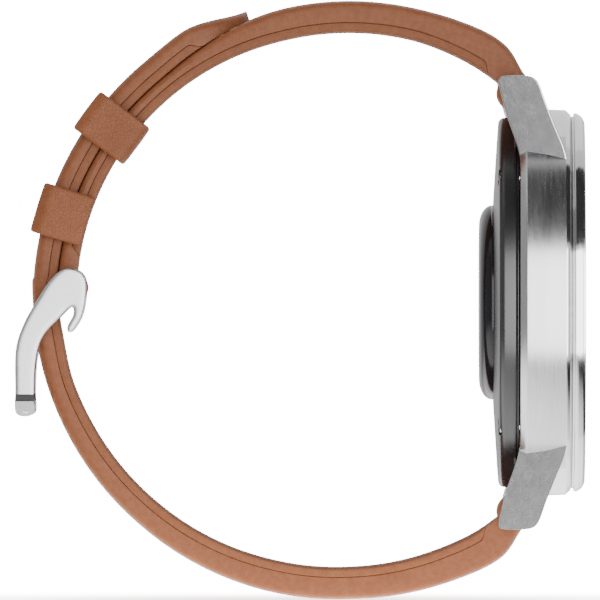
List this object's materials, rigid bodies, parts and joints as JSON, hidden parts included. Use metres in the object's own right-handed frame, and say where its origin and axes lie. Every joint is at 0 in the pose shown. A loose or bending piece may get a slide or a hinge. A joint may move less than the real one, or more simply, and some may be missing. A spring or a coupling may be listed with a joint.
{
  "type": "smartwatch",
  "caption": "Round smartwatch with a steel case, crown and button, dark domed back, and a two-part tan leather strap closed by a pin buckle.",
  "frame": {"origin": "centre of the flat window on the back, where the wrist touches", "axes": "+X is the way the dial faces, +Z points to 12 o'clock, +Y points to 3 o'clock, where the crown side is"},
  "size_m": [0.0646, 0.0458, 0.068],
  "materials": {
    "polished_steel": "polished",
    "brushed_steel": "satin",
    "spring_steel": "satin",
    "black_ceramic": "gloss",
    "black_gloss": "gloss",
    "window_glass": "gloss",
    "front_glass": "gloss",
    "black_plastic": "matte",
    "black_rubber": "matte",
    "circuit_board": "satin",
    "copper": "satin",
    "battery_foil": "satin",
    "tan_leather": "satin",
    "tan_lining": "matte"
  },
  "bodies": {
    "case": {"mid_case": "brushed_steel", "bezel_ring": "polished_steel", "bezel_insert": "black_ceramic", "cover_glass": "front_glass", "glass_seal": "black_rubber", "display_panel": "black_gloss", "display_flex": "copper", "antenna_ring": "copper", "inner_frame": "black_plastic", "battery": "battery_foil", "main_board": "circuit_board", "board_shield": "battery_foil", "vibration_motor": "battery_foil", "sensor_board": "circuit_board", "sensor_window": "window_glass", "charge_coil": "copper", "back_cover": "black_gloss", "back_seal": "black_rubber", "back_screw_1": "polished_steel", "back_screw_2": "polished_steel", "back_screw_3": "polished_steel", "back_screw_4": "polished_steel", "crown_tube": "spring_steel", "crown_seal": "black_rubber", "crown_spring": "spring_steel", "crown_switch": "black_plastic", "button_tube": "spring_steel", "button_seal": "black_rubber", "button_spring": "spring_steel", "button_switch": "black_plastic"},
    "crown_stem": {"crown_plunger": "spring_steel"},
    "crown": {"crown": "polished_steel"},
    "button": {"button": "polished_steel", "button_clip": "spring_steel"},
    "strap_12": {"strap_12_top": "tan_leather", "strap_12_lining": "tan_lining", "fixed_keeper": "tan_leather", "bar_12_tube": "spring_steel", "bar_12_spring": "spring_steel"},
    "bar_12_tip": {"bar_12_slider": "polished_steel"},
    "strap_6": {"strap_6_top": "tan_leather", "strap_6_lining": "tan_lining", "bar_6_tube": "spring_steel", "bar_6_spring": "spring_steel"},
    "bar_6_tip": {"bar_6_slider": "polished_steel"},
    "free_keeper": {"free_keeper": "tan_leather"},
    "buckle": {"buckle_frame": "polished_steel", "buckle_bar": "spring_steel"},
    "tang": {"buckle_tang": "polished_steel"}
  },
  "joints": [
    {"name": "crown_press", "type": "slide", "parent": "case", "child": "crown_stem", "axis": [0, -0.866, -0.5], "range_m": [0, 0.0005], "stiffness_N_per_m": 4000, "springref_m": -0.0001, "deforming": ["crown_spring"]},
    {"name": "crown_spin", "type": "hinge", "parent": "crown_stem", "child": "crown", "pos_m": [0.0072, 0.02122, 0.01225], "axis": [0, 0.866, 0.5], "continuous": true},
    {"name": "button_press", "type": "slide", "parent": "case", "child": "button", "axis": [0, -0.866, 0.5], "range_m": [0, 0.0005], "stiffness_N_per_m": 4000, "springref_m": -0.0001, "deforming": ["button_spring"]},
    {"name": "strap_12_pivot", "type": "hinge", "parent": "case", "child": "strap_12", "pos_m": [0.004, 0, 0.0238], "axis": [0, 1, 0], "range_deg": [0, 80]},
    {"name": "strap_6_pivot", "type": "hinge", "parent": "case", "child": "strap_6", "pos_m": [0.004, 0, -0.0238], "axis": [0, -1, 0], "range_deg": [0, 80], "deforming": ["strap_6_top", "strap_6_lining"]},
    {"name": "bar_12_release", "type": "slide", "parent": "strap_12", "child": "bar_12_tip", "axis": [0, -1, 0], "range_m": [0, 0.0013], "stiffness_N_per_m": 400, "springref_m": -0.0005, "deforming": ["bar_12_spring"]},
    {"name": "bar_6_release", "type": "slide", "parent": "strap_6", "child": "bar_6_tip", "axis": [0, -1, 0], "range_m": [0, 0.0013], "stiffness_N_per_m": 400, "springref_m": -0.0005, "deforming": ["bar_6_spring"]},
    {"name": "keeper_slide", "type": "hinge", "parent": "strap_12", "child": "free_keeper", "pos_m": [-0.01555, 0, 0.0003], "axis": [0, 1, 0], "range_deg": [-8, 10]},
    {"name": "buckle_pivot", "type": "hinge", "parent": "strap_12", "child": "buckle", "pos_m": [-0.04597, 0, 0.00168], "axis": [0, 1, 0], "range_deg": [-5, 4]},
    {"name": "tang_pivot", "type": "hinge", "parent": "buckle", "child": "tang", "pos_m": [-0.04597, 0, 0.00168], "axis": [0, 1, 0], "range_deg": [0, 6]}
  ]
}
